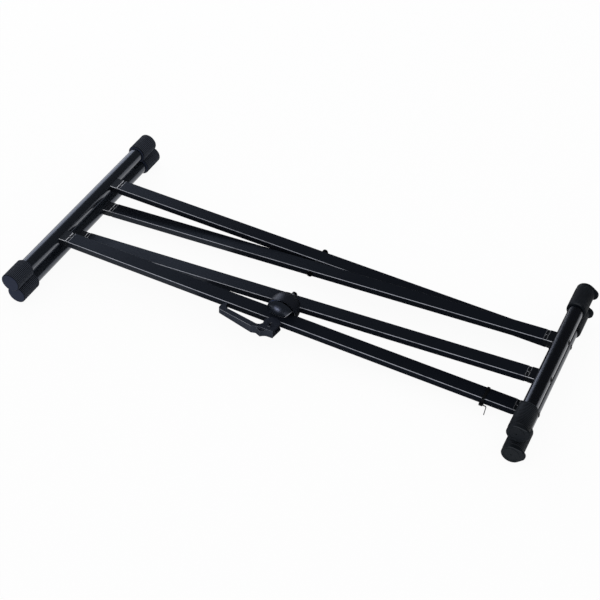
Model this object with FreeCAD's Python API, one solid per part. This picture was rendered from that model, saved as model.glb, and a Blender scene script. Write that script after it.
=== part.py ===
import FreeCAD, Part
import math
import os

# Folding keyboard stand with two crossed frames of double legs, folded flat.
# Each frame is drawn flat: X along its legs, Y along the pivot, the pivot at the origin.
# Then the outer frame is tilted down to the right and the inner frame up to the right.

# Legs
leg_width = 30.0
leg_height = 14.0
leg_wall = 1.2
leg_corner_r = 1.8
outer_leg_spacing = 189.0
inner_leg_spacing = 104.5
inner_leg_shift = 8.35

# Round tubes, and how far each lies from the pivot
tube_r = 14.3
tube_wall = 1.2
base_reach = 484.0
arm_reach = 497.9
base_tube_length = 502.0
arm_tube_length = 400.0
inner_tube_shift = 12.2

# Rubber caps on the base tubes
foot_cap_r = 19.1
foot_cap_length = 52.0
foot_cap_end_wall = 4.5
foot_cap_rib_count = 40
foot_cap_rib_depth = 1.0
foot_cap_band = 2.4
foot_cap_chamfer = 2.2
foot_cap_mouth_wall_share = 0.35
rib_top_share = 0.4
rib_slope_share = 0.25

# Rubber sleeves on the arms, each with a lip at its outer end
sleeve_r = 18.45
sleeve_length = 65.0
sleeve_end_wall = 3.0
lip_r = 12.5
lip_offset = 12.7
lip_thickness = 5.0
lip_chamfer = 0.9
end_ring_r = 14.7
end_ring_width = 1.2
end_ring_height = 0.6
end_hole_r = 1.2
outer_lip_angles = {"front": 20.0, "rear": 3.0}
inner_lip_angles = {"front": 14.0, "rear": -11.0}

# Plastic saddles between the legs and the tubes
base_saddle_reach = 28.2
arm_saddle_reach = 24.7
saddle_neck = 6.0
saddle_plug = 22.0
saddle_edge = 0.5
saddle_neck_step = 0.6
saddle_key_width = 2.4

# Bolts through the tubes into the saddles
leg_bolt_r = 3.0
leg_bolt_head_r = 5.6
leg_bolt_head_height = 3.3
leg_bolt_socket_r = 2.1
leg_bolt_socket_depth = 1.8
bolt_seat_r = 6.4
bolt_seat_depth = 1.9
leg_nut_width = 10.0
leg_nut_thickness = 5.0
leg_nut_place_share = 0.45

# Clearances
seat_gap = 0.1
running_gap = 0.3
bore_gap = 0.06
bolt_gap = 0.3
overrun = 5.0

# Rear pivot
pivot_bolt_r = 4.0
pivot_head_r = 6.2
pivot_head_thickness = 2.6
pivot_head_bulge = 3.0
pivot_nut_r = 5.4
pivot_nut_thickness = 4.6
pivot_cap_r = 5.9
pivot_cap_length = 3.0
pivot_cap_bulge = 3.4
pivot_washer_r = 6.8
bush_wall = 1.8

# Lock housing on the inner front leg
housing_r = 30.0
housing_wall = 3.7
housing_floor = 4.5
housing_back_r = 21.0
housing_back_reach = 16.0
housing_shoulder_share = 0.24
lock_first_angle = 25.0
lock_step_angle = 15.0
lock_positions = 6
pocket_depth = 2.4

# Lock cover on the outer front leg
cover_r = 31.0
cover_bulge = 16.3
cover_rim_round = 10.5
cover_rim_setback = 2.0
cover_wall = 2.4
cover_plate = 1.7
cover_plate_setback = 1.7
flank_foot = 15.1
flank_yaw_angle = 14.7
flank_undercut_angle = 33.4
flank_front = 14.5

# Hub, gear and rod of the lock
hub_plate = 2.0
hub_reach = 8.8
hub_floor_r = 20.7
gear_teeth = 12
gear_root_r = 20.2
gear_tip_r = 25.3
gear_thickness = 4.0
tooth_share = 0.5
dog_count = 3
dog_height = 1.8
dog_inner_r = 10.5
dog_outer_r = 18.5
dog_angle = 9.0
pocket_angle = 11.0
rod_r = 4.0
rod_thread_r = 3.0
rod_cap_r = 5.4
rod_cap_length = 3.4
rod_cap_bulge = 1.8
rod_cap_back_gap = 4.6
gear_collar_r = 7.0
gear_collar_length = 2.2
spring_wire_r = 0.45
spring_r = 8.6
spring_turns = 3.0
spring_wire_sides = 6

# Release handle, its pin standing in front of the outer front leg
pin_reach = 16.8
pin_r = 2.5
pin_recess = 1.2
pin_ring_r = 6.2
pin_ring_width = 1.0
pin_ring_height = 0.5
cam_offset = 4.0
boss_half_height = 8.9
bar_end_half_height = 5.7
handle_length = 106.2
bar_width = 10.2
boss_r = 16.5
boss_shift_x = 1.5
boss_shift_y = 5.3
boss_end_reach = 14.4
boss_end_front = 11.7
boss_end_angle = 9.3
gap_angle = 204.0
curl_inner_share = 0.91
curl_outer_share = 0.957
swing_angle = 50.0
slot_extra_angle = 45.0
nose_drop = 3.8
handle_edge = 1.2
# Shares of the handle's length along it and of the bar's width across it
bar_shares = {
    "gap_right": (0.246, -0.9),
    "gap_left": (0.831, 0.28),
    "gap_corner": (0.879, 0.47),
    "gap_end": (0.903, 0.88),
    "shoulder": (0.986, 0.69),
    "tip": (0.997, -0.1),
    "bar_left": (0.966, -0.52),
    "bar_right": (0.29, -1.91),
}
# Shares of the boss's radius
boss_shares = {
    "gap_bend": (-1.05, -0.41),
    "step": (-1.27, -1.0),
    "nose": (-0.61, -1.26),
    "scallop": (-0.27, -0.99),
    "scallop_end": (0.05, -0.867),
    "recess": (-0.61, -0.89),
}

# Screws of the lock
lock_screw_r = 1.75
lock_screw_head_r = 3.2
lock_screw_head_height = 1.9
lock_screw_bite = 2.5

# Cable tie round the outer front leg
tie_place = 412.7
tie_width = 5.0
tie_thickness = 1.5
tie_head_length = 5.6
tie_head_width = 7.0
tie_head_height = 4.6
tie_head_shift = 2.0
tie_head_drop = 1.6
tie_tail = 17.0
tie_tail_side = 8.8
tie_tail_width = 3.0
tie_tail_thickness = 1.1
tie_tail_bend = 3.0
tie_tail_angle = 62.0

axis_x = FreeCAD.Vector(1, 0, 0)
axis_y = FreeCAD.Vector(0, 1, 0)
axis_z = FreeCAD.Vector(0, 0, 1)
origin = FreeCAD.Vector(0, 0, 0)

# Places that follow from the sizes
rest_gap = running_gap
cap_tilt = math.degrees(math.asin((foot_cap_r + rest_gap / 2) / base_reach))
sleeve_tilt = math.degrees(math.asin((sleeve_r + rest_gap / 2) / arm_reach))
fold_tilt = max(cap_tilt, sleeve_tilt)
front_outer_y = -outer_leg_spacing / 2
rear_outer_y = outer_leg_spacing / 2
front_inner_y = inner_leg_shift - inner_leg_spacing / 2
rear_inner_y = inner_leg_shift + inner_leg_spacing / 2
half_width = leg_width / 2
half_height = leg_height / 2
lock_front_y = front_outer_y + half_width
cover_plate_r = cover_r - cover_plate_setback
handle_pin_y = front_outer_y - half_width - pin_reach
lock_rear_y = front_inner_y - half_width
cap_bore_r = tube_r + bore_gap
bush_r = pivot_bolt_r + bore_gap + bush_wall
swing_lift = cam_offset * math.radians(swing_angle)

nodes = {}


def vec(x, y, z):
    return FreeCAD.Vector(x, y, z)


def cylinder(radius, length, base, direction):
    return Part.makeCylinder(radius, length, base, direction)


def ring(outer_r, inner_r, length, base, direction):
    return cylinder(outer_r, length, base, direction).cut(cylinder(inner_r, length, base, direction))


def box(x0, x1, y0, y1, z0, z1):
    return Part.makeBox(x1 - x0, y1 - y0, z1 - z0, vec(x0, y0, z0))


def turned(shape, degrees, direction, centre=origin):
    shape = shape.copy()
    shape.rotate(centre, direction, degrees)
    return shape


def moved(shape, x, y, z):
    shape = shape.copy()
    shape.translate(vec(x, y, z))
    return shape


def mirrored(shape, normal):
    return shape.mirror(origin, normal)


def joined(shapes):
    whole = shapes[0]
    if len(shapes) > 1:
        whole = whole.multiFuse(shapes[1:])
    return whole.removeSplitter()


def cut_all(shape, cutters):
    return shape.cut(Part.makeCompound(cutters))


def turned_profile(points):
    """Solid of revolution about the Y axis, from points of (place along Y, radius)."""
    corners = [vec(radius, place, 0) for place, radius in points]
    outline = Part.makePolygon(corners + corners[:1])
    return Part.Face(outline).revolve(origin, axis_y, 360)


def domed_stub(radius, straight, bulge):
    """Round stub along +Y from the origin, with a domed end."""
    sphere_r = (radius ** 2 + bulge ** 2) / (2 * bulge)
    half = math.asin(radius / sphere_r) / 2
    middle = vec(sphere_r * math.sin(half), straight + bulge - sphere_r * (1 - math.cos(half)), 0)
    shoulder = vec(radius, straight, 0)
    tip = vec(0, straight + bulge, 0)
    edges = [Part.makeLine(origin, vec(radius, 0, 0)), Part.makeLine(vec(radius, 0, 0), shoulder),
             Part.Arc(shoulder, middle, tip).toShape(), Part.makeLine(tip, origin)]
    return Part.Face(Part.Wire(edges)).revolve(origin, axis_y, 360)


def bar_section(width, height, corner_r, x):
    """Rounded rectangle across the X axis."""
    w = width / 2
    h = height / 2
    r = corner_r
    k = r * (1 - math.sqrt(0.5))
    edges = []
    for sy, sz in ((1, 1), (-1, 1), (-1, -1), (1, -1)):
        first = vec(x, sy * w, sz * (h - r))
        second = vec(x, sy * (w - r), sz * h)
        if sy * sz < 0:
            first, second = second, first
        edges.append(Part.Arc(first, vec(x, sy * (w - k), sz * (h - k)), second).toShape())
    sides = []
    for here, there in zip(edges, edges[1:] + edges[:1]):
        sides.append(Part.makeLine(here.lastVertex(True).Point, there.firstVertex(True).Point))
    loop = [edge for pair in zip(edges, sides) for edge in pair]
    return Part.Face(Part.Wire(loop))


def bar(width, height, corner_r, x0, x1):
    return bar_section(width, height, corner_r, x0).extrude(vec(x1 - x0, 0, 0))


# Legs
def make_leg(y, side_holes_r):
    """Rectangular tube from saddle to saddle, drilled at the pivot."""
    x0 = -(base_reach - base_saddle_reach - saddle_neck)
    x1 = arm_reach - arm_saddle_reach - saddle_neck
    inner_r = leg_corner_r - leg_wall
    outside = bar(leg_width, leg_height, leg_corner_r, x0, x1)
    inside = bar(leg_width - 2 * leg_wall, leg_height - 2 * leg_wall, inner_r, x0, x1)
    hole = cylinder(side_holes_r, leg_width, vec(0, -half_width, 0), axis_y)
    return moved(outside.cut(inside).cut(hole), 0, y, 0)


def make_bush(y, bore_r):
    return moved(ring(bush_r, bore_r, leg_width, vec(0, -half_width, 0), axis_y), 0, y, 0)


# Saddles, drawn with the tube's axis at the origin and the leg towards +X
def make_saddle(reach):
    plug_width = leg_width - 2 * leg_wall - 2 * seat_gap
    plug_height = leg_height - 2 * leg_wall - 2 * seat_gap
    plug_end = reach + saddle_neck + saddle_plug
    nut_x = reach + saddle_neck + saddle_plug * leg_nut_place_share
    body = bar(leg_width, leg_height, leg_corner_r, 0, reach)
    shoulder = [edge for edge in body.Edges if edge.BoundBox.XMin > reach - saddle_edge]
    body = body.makeChamfer(saddle_edge, shoulder)
    neck = bar(leg_width - 2 * saddle_neck_step, leg_height - 2 * saddle_neck_step,
               leg_corner_r - saddle_neck_step, reach - saddle_edge, reach + saddle_neck)
    plug = bar(plug_width, plug_height, leg_corner_r - leg_wall, reach, plug_end)
    key = box(reach - saddle_edge, reach + saddle_neck, -saddle_key_width / 2, saddle_key_width / 2,
              0, half_height)
    tube = cylinder(tube_r + seat_gap, leg_width + 2 * overrun, vec(0, -half_width - overrun, 0), axis_y)
    bolt_hole = cylinder(leg_bolt_r + bolt_gap, plug_end + overrun, origin, axis_x)
    nut_half = leg_nut_width / 2 + seat_gap
    nut_pocket = box(nut_x - seat_gap, nut_x + leg_nut_thickness + seat_gap, -nut_half, nut_half,
                     -half_height, nut_half)
    return cut_all(joined([body, neck, plug, key]), [tube, bolt_hole, nut_pocket])


def make_leg_bolt(reach):
    """Button-head bolt that starts on the seat at the far side of the tube."""
    seat_x = -(tube_r - bolt_seat_depth)
    nut_x = reach + saddle_neck + saddle_plug * leg_nut_place_share
    tip_x = nut_x + leg_nut_thickness + leg_bolt_r
    shank = cylinder(leg_bolt_r, tip_x - seat_x, vec(seat_x, 0, 0), axis_x)
    dome_r = (leg_bolt_head_r ** 2 + leg_bolt_head_height ** 2) / (2 * leg_bolt_head_height)
    dome = Part.makeSphere(dome_r, vec(seat_x - leg_bolt_head_height + dome_r, 0, 0))
    head = dome.common(cylinder(leg_bolt_head_r, leg_bolt_head_height, vec(seat_x, 0, 0), -axis_x))
    socket = cylinder(leg_bolt_socket_r, leg_bolt_socket_depth,
                      vec(seat_x - leg_bolt_head_height, 0, 0), axis_x)
    return joined([shank, head]).cut(socket)


def make_leg_nut(reach):
    nut_x = reach + saddle_neck + saddle_plug * leg_nut_place_share
    half = leg_nut_width / 2
    block = box(nut_x, nut_x + leg_nut_thickness, -half, half, -half, half)
    return block.cut(cylinder(leg_bolt_r + bore_gap, leg_nut_thickness, vec(nut_x, 0, 0), axis_x))


# Round tubes, drawn with the legs towards +X
def make_tube(length, bolt_ys):
    tube = cylinder(tube_r, length, vec(0, -length / 2, 0), axis_y)
    bore = cylinder(tube_r - tube_wall, length, vec(0, -length / 2, 0), axis_y)
    seat_x = -(tube_r - bolt_seat_depth)
    cups = []
    recesses = []
    holes = []
    for y in bolt_ys:
        cups.append(cylinder(bolt_seat_r + tube_wall, bolt_seat_depth + tube_wall,
                             vec(seat_x + tube_wall, y, 0), -axis_x).common(tube))
        recesses.append(cylinder(bolt_seat_r, bolt_seat_depth + overrun, vec(seat_x, y, 0), -axis_x))
        holes.append(cylinder(leg_bolt_r + bolt_gap, 2 * tube_r + 2 * overrun,
                              vec(-tube_r - overrun, y, 0), axis_x))
    walls = joined([tube.cut(bore)] + cups)
    return cut_all(walls, recesses + holes)


# Foot caps, drawn round a tube whose end is at Y = 0, with the closed end towards -Y
def make_foot_cap():
    root_r = foot_cap_r - foot_cap_rib_depth
    pitch = 360.0 / foot_cap_rib_count
    flat = pitch * rib_top_share / 2
    slope = pitch * rib_slope_share
    outline = []
    for index in range(foot_cap_rib_count):
        middle = index * pitch
        corners = ((foot_cap_r, middle - flat), (foot_cap_r, middle + flat),
                   (root_r, middle + flat + slope), (root_r, middle + pitch - flat - slope))
        for radius, angle in corners:
            outline.append(vec(radius * math.cos(math.radians(angle)), -foot_cap_end_wall,
                               radius * math.sin(math.radians(angle))))
    face = Part.Face(Part.makePolygon(outline + outline[:1]))
    ribbed = face.extrude(vec(0, foot_cap_length - foot_cap_band, 0))
    mouth = foot_cap_length - foot_cap_end_wall
    mouth_r = cap_bore_r + (foot_cap_r - cap_bore_r) * (1 - foot_cap_mouth_wall_share)
    band = turned_profile([(mouth - foot_cap_band, 0), (mouth - foot_cap_band, root_r),
                           (mouth - foot_cap_band / 2, root_r), (mouth, mouth_r), (mouth, 0)])
    end_r = foot_cap_r - foot_cap_chamfer
    limit = turned_profile([(-foot_cap_end_wall, 0), (-foot_cap_end_wall, end_r),
                            (-foot_cap_end_wall + foot_cap_chamfer, foot_cap_r + foot_cap_rib_depth),
                            (mouth, foot_cap_r + foot_cap_rib_depth), (mouth, 0)])
    solid = joined([ribbed.common(limit), band])
    return solid.cut(cylinder(cap_bore_r, mouth + overrun, origin, axis_y))


# Arm sleeves, drawn round a tube whose end is at Y = 0, closed towards -Y, lip towards +X
def make_lip(thickness):
    """Two round ends joined by their common tangents."""
    turn = math.acos((sleeve_r - lip_r) / lip_offset)
    c = math.cos(turn)
    s = math.sin(turn)
    big_top = vec(sleeve_r * c, 0, sleeve_r * s)
    big_low = vec(sleeve_r * c, 0, -sleeve_r * s)
    small_top = vec(lip_offset + lip_r * c, 0, lip_r * s)
    small_low = vec(lip_offset + lip_r * c, 0, -lip_r * s)
    edges = [Part.Arc(big_top, vec(-sleeve_r, 0, 0), big_low).toShape(),
             Part.makeLine(big_low, small_low),
             Part.Arc(small_low, vec(lip_offset + lip_r, 0, 0), small_top).toShape(),
             Part.makeLine(small_top, big_top)]
    plate = Part.Face(Part.Wire(edges)).extrude(vec(0, thickness, 0))
    rims = [edge for edge in plate.Edges if edge.BoundBox.YLength < lip_chamfer]
    return plate.makeChamfer(lip_chamfer, rims)


def make_sleeve(lip_angle):
    mouth = sleeve_length - sleeve_end_wall
    body = turned_profile([(-sleeve_end_wall + lip_thickness / 2, 0),
                           (-sleeve_end_wall + lip_thickness / 2, sleeve_r),
                           (mouth - lip_chamfer, sleeve_r), (mouth, sleeve_r - lip_chamfer), (mouth, 0)])
    lip = moved(turned(make_lip(lip_thickness), lip_angle, -axis_y), 0, -sleeve_end_wall, 0)
    mark = ring(end_ring_r, end_ring_r - end_ring_width, end_ring_height + lip_thickness / 2,
                vec(0, -sleeve_end_wall - end_ring_height, 0), axis_y)
    bore = cylinder(cap_bore_r, mouth + overrun, origin, axis_y)
    hole = cylinder(end_hole_r, sleeve_end_wall + 2 * overrun, vec(0, -sleeve_end_wall - overrun, 0),
                    axis_y)
    return cut_all(joined([body, lip, mark]), [bore, hole])


def at_both_ends(shape, length, shift):
    """The piece at the front end of a tube, and turned round at its rear end."""
    front = moved(shape, 0, shift - length / 2, 0)
    rear = moved(mirrored(shape, axis_y), 0, shift + length / 2, 0)
    return front, rear


# One frame: two legs, base tube on the left, arm tube on the right
def facing_left(shape):
    return turned(shape, 180, axis_z)


def make_frame(prefix, leg_ys, tube_shift, tilt, lip_angles):
    base_ys = [y - tube_shift for y in leg_ys]
    base = make_tube(base_tube_length, base_ys)
    nodes[prefix + "_base_tube"] = (moved(base, -base_reach, tube_shift, 0), tilt)
    arm = facing_left(make_tube(arm_tube_length, [-y for y in base_ys]))
    nodes[prefix + "_arm_tube"] = (moved(arm, arm_reach, tube_shift, 0), tilt)
    base_saddle = make_saddle(base_saddle_reach)
    arm_saddle = facing_left(make_saddle(arm_saddle_reach))
    for place, y in zip(("front", "rear"), leg_ys):
        name = place + "_" + prefix
        nodes[name + "_base_saddle"] = (moved(base_saddle, -base_reach, y, 0), tilt)
        nodes[name + "_arm_saddle"] = (moved(arm_saddle, arm_reach, y, 0), tilt)
    for kind, maker in (("leg_bolts", make_leg_bolt), ("leg_nuts", make_leg_nut)):
        copies = []
        for y in leg_ys:
            copies.append(moved(maker(base_saddle_reach), -base_reach, y, 0))
            copies.append(moved(facing_left(maker(arm_saddle_reach)), arm_reach, y, 0))
        nodes[prefix + "_" + kind] = (Part.makeCompound(copies), tilt)
    caps = at_both_ends(make_foot_cap(), base_tube_length, tube_shift)
    for place, cap in zip(("front", "rear"), caps):
        nodes[place + "_" + prefix + "_foot_cap"] = (moved(cap, -base_reach, 0, 0), tilt)
        sleeves = at_both_ends(make_sleeve(lip_angles[place]), arm_tube_length, tube_shift)
        sleeve = sleeves[0 if place == "front" else 1]
        nodes[place + "_" + prefix + "_arm_sleeve"] = (moved(sleeve, arm_reach, 0, 0), tilt)


# Rear pivot: round bolt head inside, washer between the legs, nut and its domed cap outside
def make_rear_pivot(tilt):
    head_y = rear_inner_y - half_width - running_gap
    far_y = rear_outer_y + half_width
    cap_y = far_y + pivot_nut_thickness
    shank = cylinder(pivot_bolt_r, cap_y - head_y, vec(0, head_y, 0), axis_y)
    head = moved(mirrored(domed_stub(pivot_head_r, pivot_head_thickness, pivot_head_bulge), axis_y),
                 0, head_y, 0)
    nodes["rear_pivot_bolt"] = (joined([shank, head]), tilt)
    inner_face = rear_inner_y + half_width
    washer = ring(pivot_washer_r, pivot_bolt_r + bore_gap,
                  rear_outer_y - half_width - inner_face - running_gap,
                  vec(0, inner_face + running_gap, 0), axis_y)
    nodes["rear_pivot_washer"] = (washer, tilt)
    nut = make_hexagon(pivot_nut_r, pivot_nut_thickness, far_y)
    dome = moved(domed_stub(pivot_cap_r, pivot_cap_length, pivot_cap_bulge), 0, cap_y, 0)
    hole = cylinder(pivot_bolt_r + bore_gap, pivot_nut_thickness, vec(0, far_y, 0), axis_y)
    nodes["rear_pivot_cap_nut"] = (joined([nut, dome]).cut(hole), tilt)


def make_hexagon(corner_r, thickness, y):
    corners = []
    for index in range(6):
        angle = math.radians(60 * index)
        corners.append(vec(corner_r * math.cos(angle), y, corner_r * math.sin(angle)))
    return Part.Face(Part.makePolygon(corners + corners[:1])).extrude(vec(0, thickness, 0))


def leg_channel(y, margin):
    """The room that a front leg takes in a moulding."""
    reach = housing_r + overrun
    return box(-reach, reach, y - half_width - margin, y + half_width + margin,
               -half_height - margin, half_height + margin)


# Lock cover: half a dome over the outer front leg, its flanks cut away over the leg
def make_dome(inset):
    """Solid dome whose skin lies inset behind the cover's, of a tight arc and a wide one."""
    radius = cover_r - inset
    bulge = cover_bulge - inset
    tight_r = cover_rim_round - inset
    wide_r = ((radius - tight_r) ** 2 + bulge ** 2 - tight_r ** 2) / (2 * (bulge - tight_r))
    turn = math.atan2(wide_r - bulge, radius - tight_r)
    tight = vec(radius - tight_r, 0, 0)
    wide = vec(0, wide_r - bulge, 0)

    def on_arc(centre, arc_r, angle):
        return centre + vec(arc_r * math.cos(angle), -arc_r * math.sin(angle), 0)

    rim = vec(radius, 0, 0)
    tip = vec(0, -bulge, 0)
    meet = on_arc(tight, tight_r, turn)
    edges = [Part.Arc(rim, on_arc(tight, tight_r, turn / 2), meet).toShape(),
             Part.Arc(meet, on_arc(wide, wide_r, (turn + math.pi / 2) / 2), tip).toShape(),
             Part.makeLine(tip, origin), Part.makeLine(origin, rim)]
    return Part.Face(Part.Wire(edges)).revolve(origin, axis_y, 360)


def make_flank_cutter(side, level):
    """Half space whose face runs up and outwards from the foot of a flank."""
    size = 2 * housing_r
    block = box(0, size, -size, size, -size, size)
    block = turned(block, flank_undercut_angle, axis_y)
    block = turned(block, -flank_yaw_angle, axis_z)
    block = moved(block, flank_foot, lock_front_y - flank_front, half_height)
    block = block.common(box(-size, 2 * size, -4 * size, 4 * size, 0, 2 * size))
    if side < 0:
        block = mirrored(block, axis_x)
    if level < 0:
        block = mirrored(block, axis_z)
    return block


def make_lock_cover():
    rim_y = lock_front_y - cover_rim_setback
    plate_back = lock_front_y + cover_plate
    shell = moved(make_dome(0).cut(make_dome(cover_wall)), 0, rim_y, 0)
    cutters = [make_flank_cutter(side, level) for side in (1, -1) for level in (1, -1)]
    shell = cut_all(shell, cutters)
    plate = cylinder(cover_plate_r, cover_plate, vec(0, lock_front_y, 0), axis_y)
    skirt = ring(cover_plate_r, cover_r - cover_wall - cover_plate, plate_back - rim_y,
                 vec(0, rim_y, 0), axis_y)
    body = joined([shell, skirt, plate])
    hole = cylinder(bush_r + bore_gap, cover_plate, vec(0, lock_front_y, 0), axis_y)
    screws = [cylinder(lock_screw_r + bore_gap, cover_plate,
                       vec(side * hub_screw_reach, lock_front_y, 0), axis_y) for side in (-1, 1)]
    reach = housing_r + overrun
    channel = box(-reach, reach, lock_front_y - leg_width, lock_front_y, -half_height, half_height)
    return cut_all(body, [hole, channel] + screws)


def wedge(inner_r, outer_r, angle, half_angle, y, length):
    """A sector of a ring about the pivot, counted from +X towards +Z."""
    corners = []
    for radius, turn in ((inner_r, -half_angle), (outer_r, -half_angle),
                         (outer_r, half_angle), (inner_r, half_angle)):
        a = math.radians(angle + turn)
        corners.append(vec(radius * math.cos(a), y, radius * math.sin(a)))
    a = math.radians(angle)
    inner_mid = vec(inner_r * math.cos(a), y, inner_r * math.sin(a))
    outer_mid = vec(outer_r * math.cos(a), y, outer_r * math.sin(a))
    edges = [Part.makeLine(corners[0], corners[1]), Part.Arc(corners[1], outer_mid, corners[2]).toShape(),
             Part.makeLine(corners[2], corners[3]), Part.Arc(corners[3], inner_mid, corners[0]).toShape()]
    return Part.Face(Part.Wire(edges)).extrude(vec(0, length, 0))


# Places of the lock's pieces
hub_front_y = lock_front_y + cover_plate
hub_back_y = hub_front_y + hub_plate
housing_front_y = hub_front_y + running_gap
floor_y = lock_rear_y - housing_floor
gear_back_y = floor_y - running_gap - dog_height
gear_front_y = gear_back_y - gear_thickness
tooth_pitch = 360.0 / gear_teeth
hub_screw_reach = (spring_r + hub_floor_r) / 2
housing_screw_reach = (dog_outer_r + housing_r - housing_wall) / 2
screw_sink = lock_screw_head_height + running_gap


def make_lock_hub():
    """Plate screwed to the cover, with a sleeve whose slots guide the gear's teeth."""
    sleeve_r = housing_r - housing_wall - running_gap
    plate = cylinder(sleeve_r, hub_plate, vec(0, hub_front_y, 0), axis_y)
    sleeve = ring(sleeve_r, hub_floor_r, hub_reach, vec(0, hub_back_y, 0), axis_y)
    cutters = [cylinder(rod_r + bore_gap, hub_plate, vec(0, hub_front_y, 0), axis_y)]
    half = tooth_pitch * tooth_share / 2 + math.degrees(running_gap / gear_root_r)
    for index in range(gear_teeth):
        cutters.append(wedge(hub_floor_r - hub_plate, sleeve_r + overrun, index * tooth_pitch, half,
                             hub_back_y + running_gap, hub_reach))
    for side in (-1, 1):
        cutters.append(cylinder(lock_screw_r + bore_gap, hub_plate,
                                vec(side * hub_screw_reach, hub_front_y, 0), axis_y))
    return cut_all(joined([plate, sleeve]), cutters)


def make_lock_screw(x, seat_y, length, direction):
    """Cheese-head screw whose head stands on seat_y and whose shank runs along direction."""
    head = cylinder(lock_screw_head_r, lock_screw_head_height, vec(x, seat_y, 0), -direction)
    shank = cylinder(lock_screw_r, length, vec(x, seat_y, 0), direction)
    top = vec(x, seat_y, 0) - direction * lock_screw_head_height
    recess = cylinder(lock_screw_r / 2, lock_screw_head_height / 2, top, direction)
    return joined([head, shank]).cut(recess)


def make_lock_gear():
    """Toothed disc with dogs on its back that seat in the housing's floor."""
    disc = cylinder(gear_root_r, gear_thickness, vec(0, gear_front_y, 0), axis_y)
    collar = cylinder(gear_collar_r, gear_collar_length, vec(0, gear_front_y - gear_collar_length, 0),
                      axis_y)
    pieces = [disc, collar]
    for index in range(gear_teeth):
        pieces.append(wedge(gear_root_r - gear_collar_length, gear_tip_r, index * tooth_pitch,
                            tooth_pitch * tooth_share / 2, gear_front_y, gear_thickness))
    for index in range(dog_count):
        pieces.append(wedge(dog_inner_r, dog_outer_r, index * 360.0 / dog_count, dog_angle / 2,
                            gear_back_y - gear_thickness / 2, dog_height + gear_thickness / 2))
    bore = cylinder(rod_r + bore_gap, gear_thickness + gear_collar_length,
                    vec(0, gear_front_y - gear_collar_length, 0), axis_y)
    return joined(pieces).cut(bore)


def make_lock_housing(gear_turn):
    """Drum with a rounded back over the inner front leg; pockets in its floor take the dogs."""
    back_y = front_inner_y - half_width + housing_back_reach
    shoulder_y = lock_rear_y - housing_floor
    depth = back_y - shoulder_y
    bend = vec(housing_r - (housing_r - housing_back_r) * housing_shoulder_share,
               shoulder_y + depth / 2, 0)
    rim = vec(housing_r, housing_front_y, 0)
    shoulder = vec(housing_r, shoulder_y, 0)
    back = vec(housing_back_r, back_y, 0)
    centre_back = vec(0, back_y, 0)
    centre_rim = vec(0, housing_front_y, 0)
    edges = [Part.makeLine(rim, shoulder), Part.Arc(shoulder, bend, back).toShape(),
             Part.makeLine(back, centre_back), Part.makeLine(centre_back, centre_rim),
             Part.makeLine(centre_rim, rim)]
    body = Part.Face(Part.Wire(edges)).revolve(origin, axis_y, 360)
    cup = cylinder(housing_r - housing_wall, floor_y - housing_front_y, vec(0, housing_front_y, 0),
                   axis_y)
    hole = cylinder(bush_r + bore_gap, 2 * housing_back_reach, vec(0, floor_y, 0), axis_y)
    cutters = [cup, hole, leg_channel(front_inner_y, 0)]
    for step in range(lock_positions):
        for index in range(dog_count):
            angle = gear_turn + index * 360.0 / dog_count - lock_first_angle - step * lock_step_angle
            cutters.append(wedge(dog_inner_r - running_gap, dog_outer_r + running_gap, angle,
                                 pocket_angle / 2, floor_y, pocket_depth))
    for side in (-1, 1):
        x = side * housing_screw_reach
        cutters.append(cylinder(lock_screw_r + bore_gap, housing_floor, vec(x, floor_y, 0), axis_y))
        cutters.append(cylinder(lock_screw_head_r + bore_gap, screw_sink, vec(x, floor_y, 0), axis_y))
    return cut_all(body, cutters)


# Rod, its cap, spring and pin
def make_lock_rod():
    pin_y = handle_pin_y
    cap_y = front_inner_y + half_width + rod_cap_back_gap
    shank = cylinder(rod_r, cap_y - pin_y, vec(0, pin_y, 0), axis_y)
    eye = Part.makeSphere(rod_r, vec(0, pin_y, 0))
    thread = cylinder(rod_thread_r, rod_cap_length / 2, vec(0, cap_y, 0), axis_y)
    hole = cylinder(pin_r + bore_gap, 2 * rod_r + 2 * overrun, vec(0, pin_y, -rod_r - overrun), axis_z)
    return joined([shank, eye, thread]).cut(hole)


def make_rod_cap():
    cap_y = front_inner_y + half_width + rod_cap_back_gap
    body = moved(domed_stub(rod_cap_r, rod_cap_length, rod_cap_bulge), 0, cap_y, 0)
    return body.cut(cylinder(rod_thread_r + bore_gap, rod_cap_length / 2, vec(0, cap_y, 0), axis_y))


def make_spring():
    """Coil between the hub plate and the gear."""
    room = gear_front_y - hub_back_y
    pitch = (room - 2 * spring_wire_r - 2 * bore_gap) / spring_turns
    path = Part.makeHelix(pitch, pitch * spring_turns, spring_r)
    corners = []
    for index in range(spring_wire_sides):
        angle = 2 * math.pi * index / spring_wire_sides
        corners.append(vec(spring_r + spring_wire_r * math.cos(angle), 0, spring_wire_r * math.sin(angle)))
    section = Part.makePolygon(corners + corners[:1])
    coil = Part.Wire(path).makePipeShell([section], True, True)
    coil.rotate(origin, axis_x, -90)
    return moved(coil, 0, hub_back_y + spring_wire_r + bore_gap, 0)


def make_handle_pin():
    pin_y = handle_pin_y
    half = boss_half_height - pin_recess
    return cylinder(pin_r, 2 * half, vec(0, pin_y, -half), axis_z)


# Release handle, drawn with its pin at the origin and the leg's front face towards +Y
def bar_point(name):
    share_x, share_y = bar_shares[name]
    return vec(-handle_length * share_x, bar_width * share_y, 0)


def boss_point(name):
    share_x, share_y = boss_shares[name]
    return vec(boss_r * share_x, boss_r * share_y, 0)


def on_boss(degrees):
    """Point of the boss's round, counted from +X."""
    a = math.radians(degrees)
    return vec(boss_shift_x + boss_r * math.cos(a), boss_shift_y + boss_r * math.sin(a), 0)


def arc(start, middle, end):
    return Part.Arc(start, middle, end).toShape()


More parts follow.
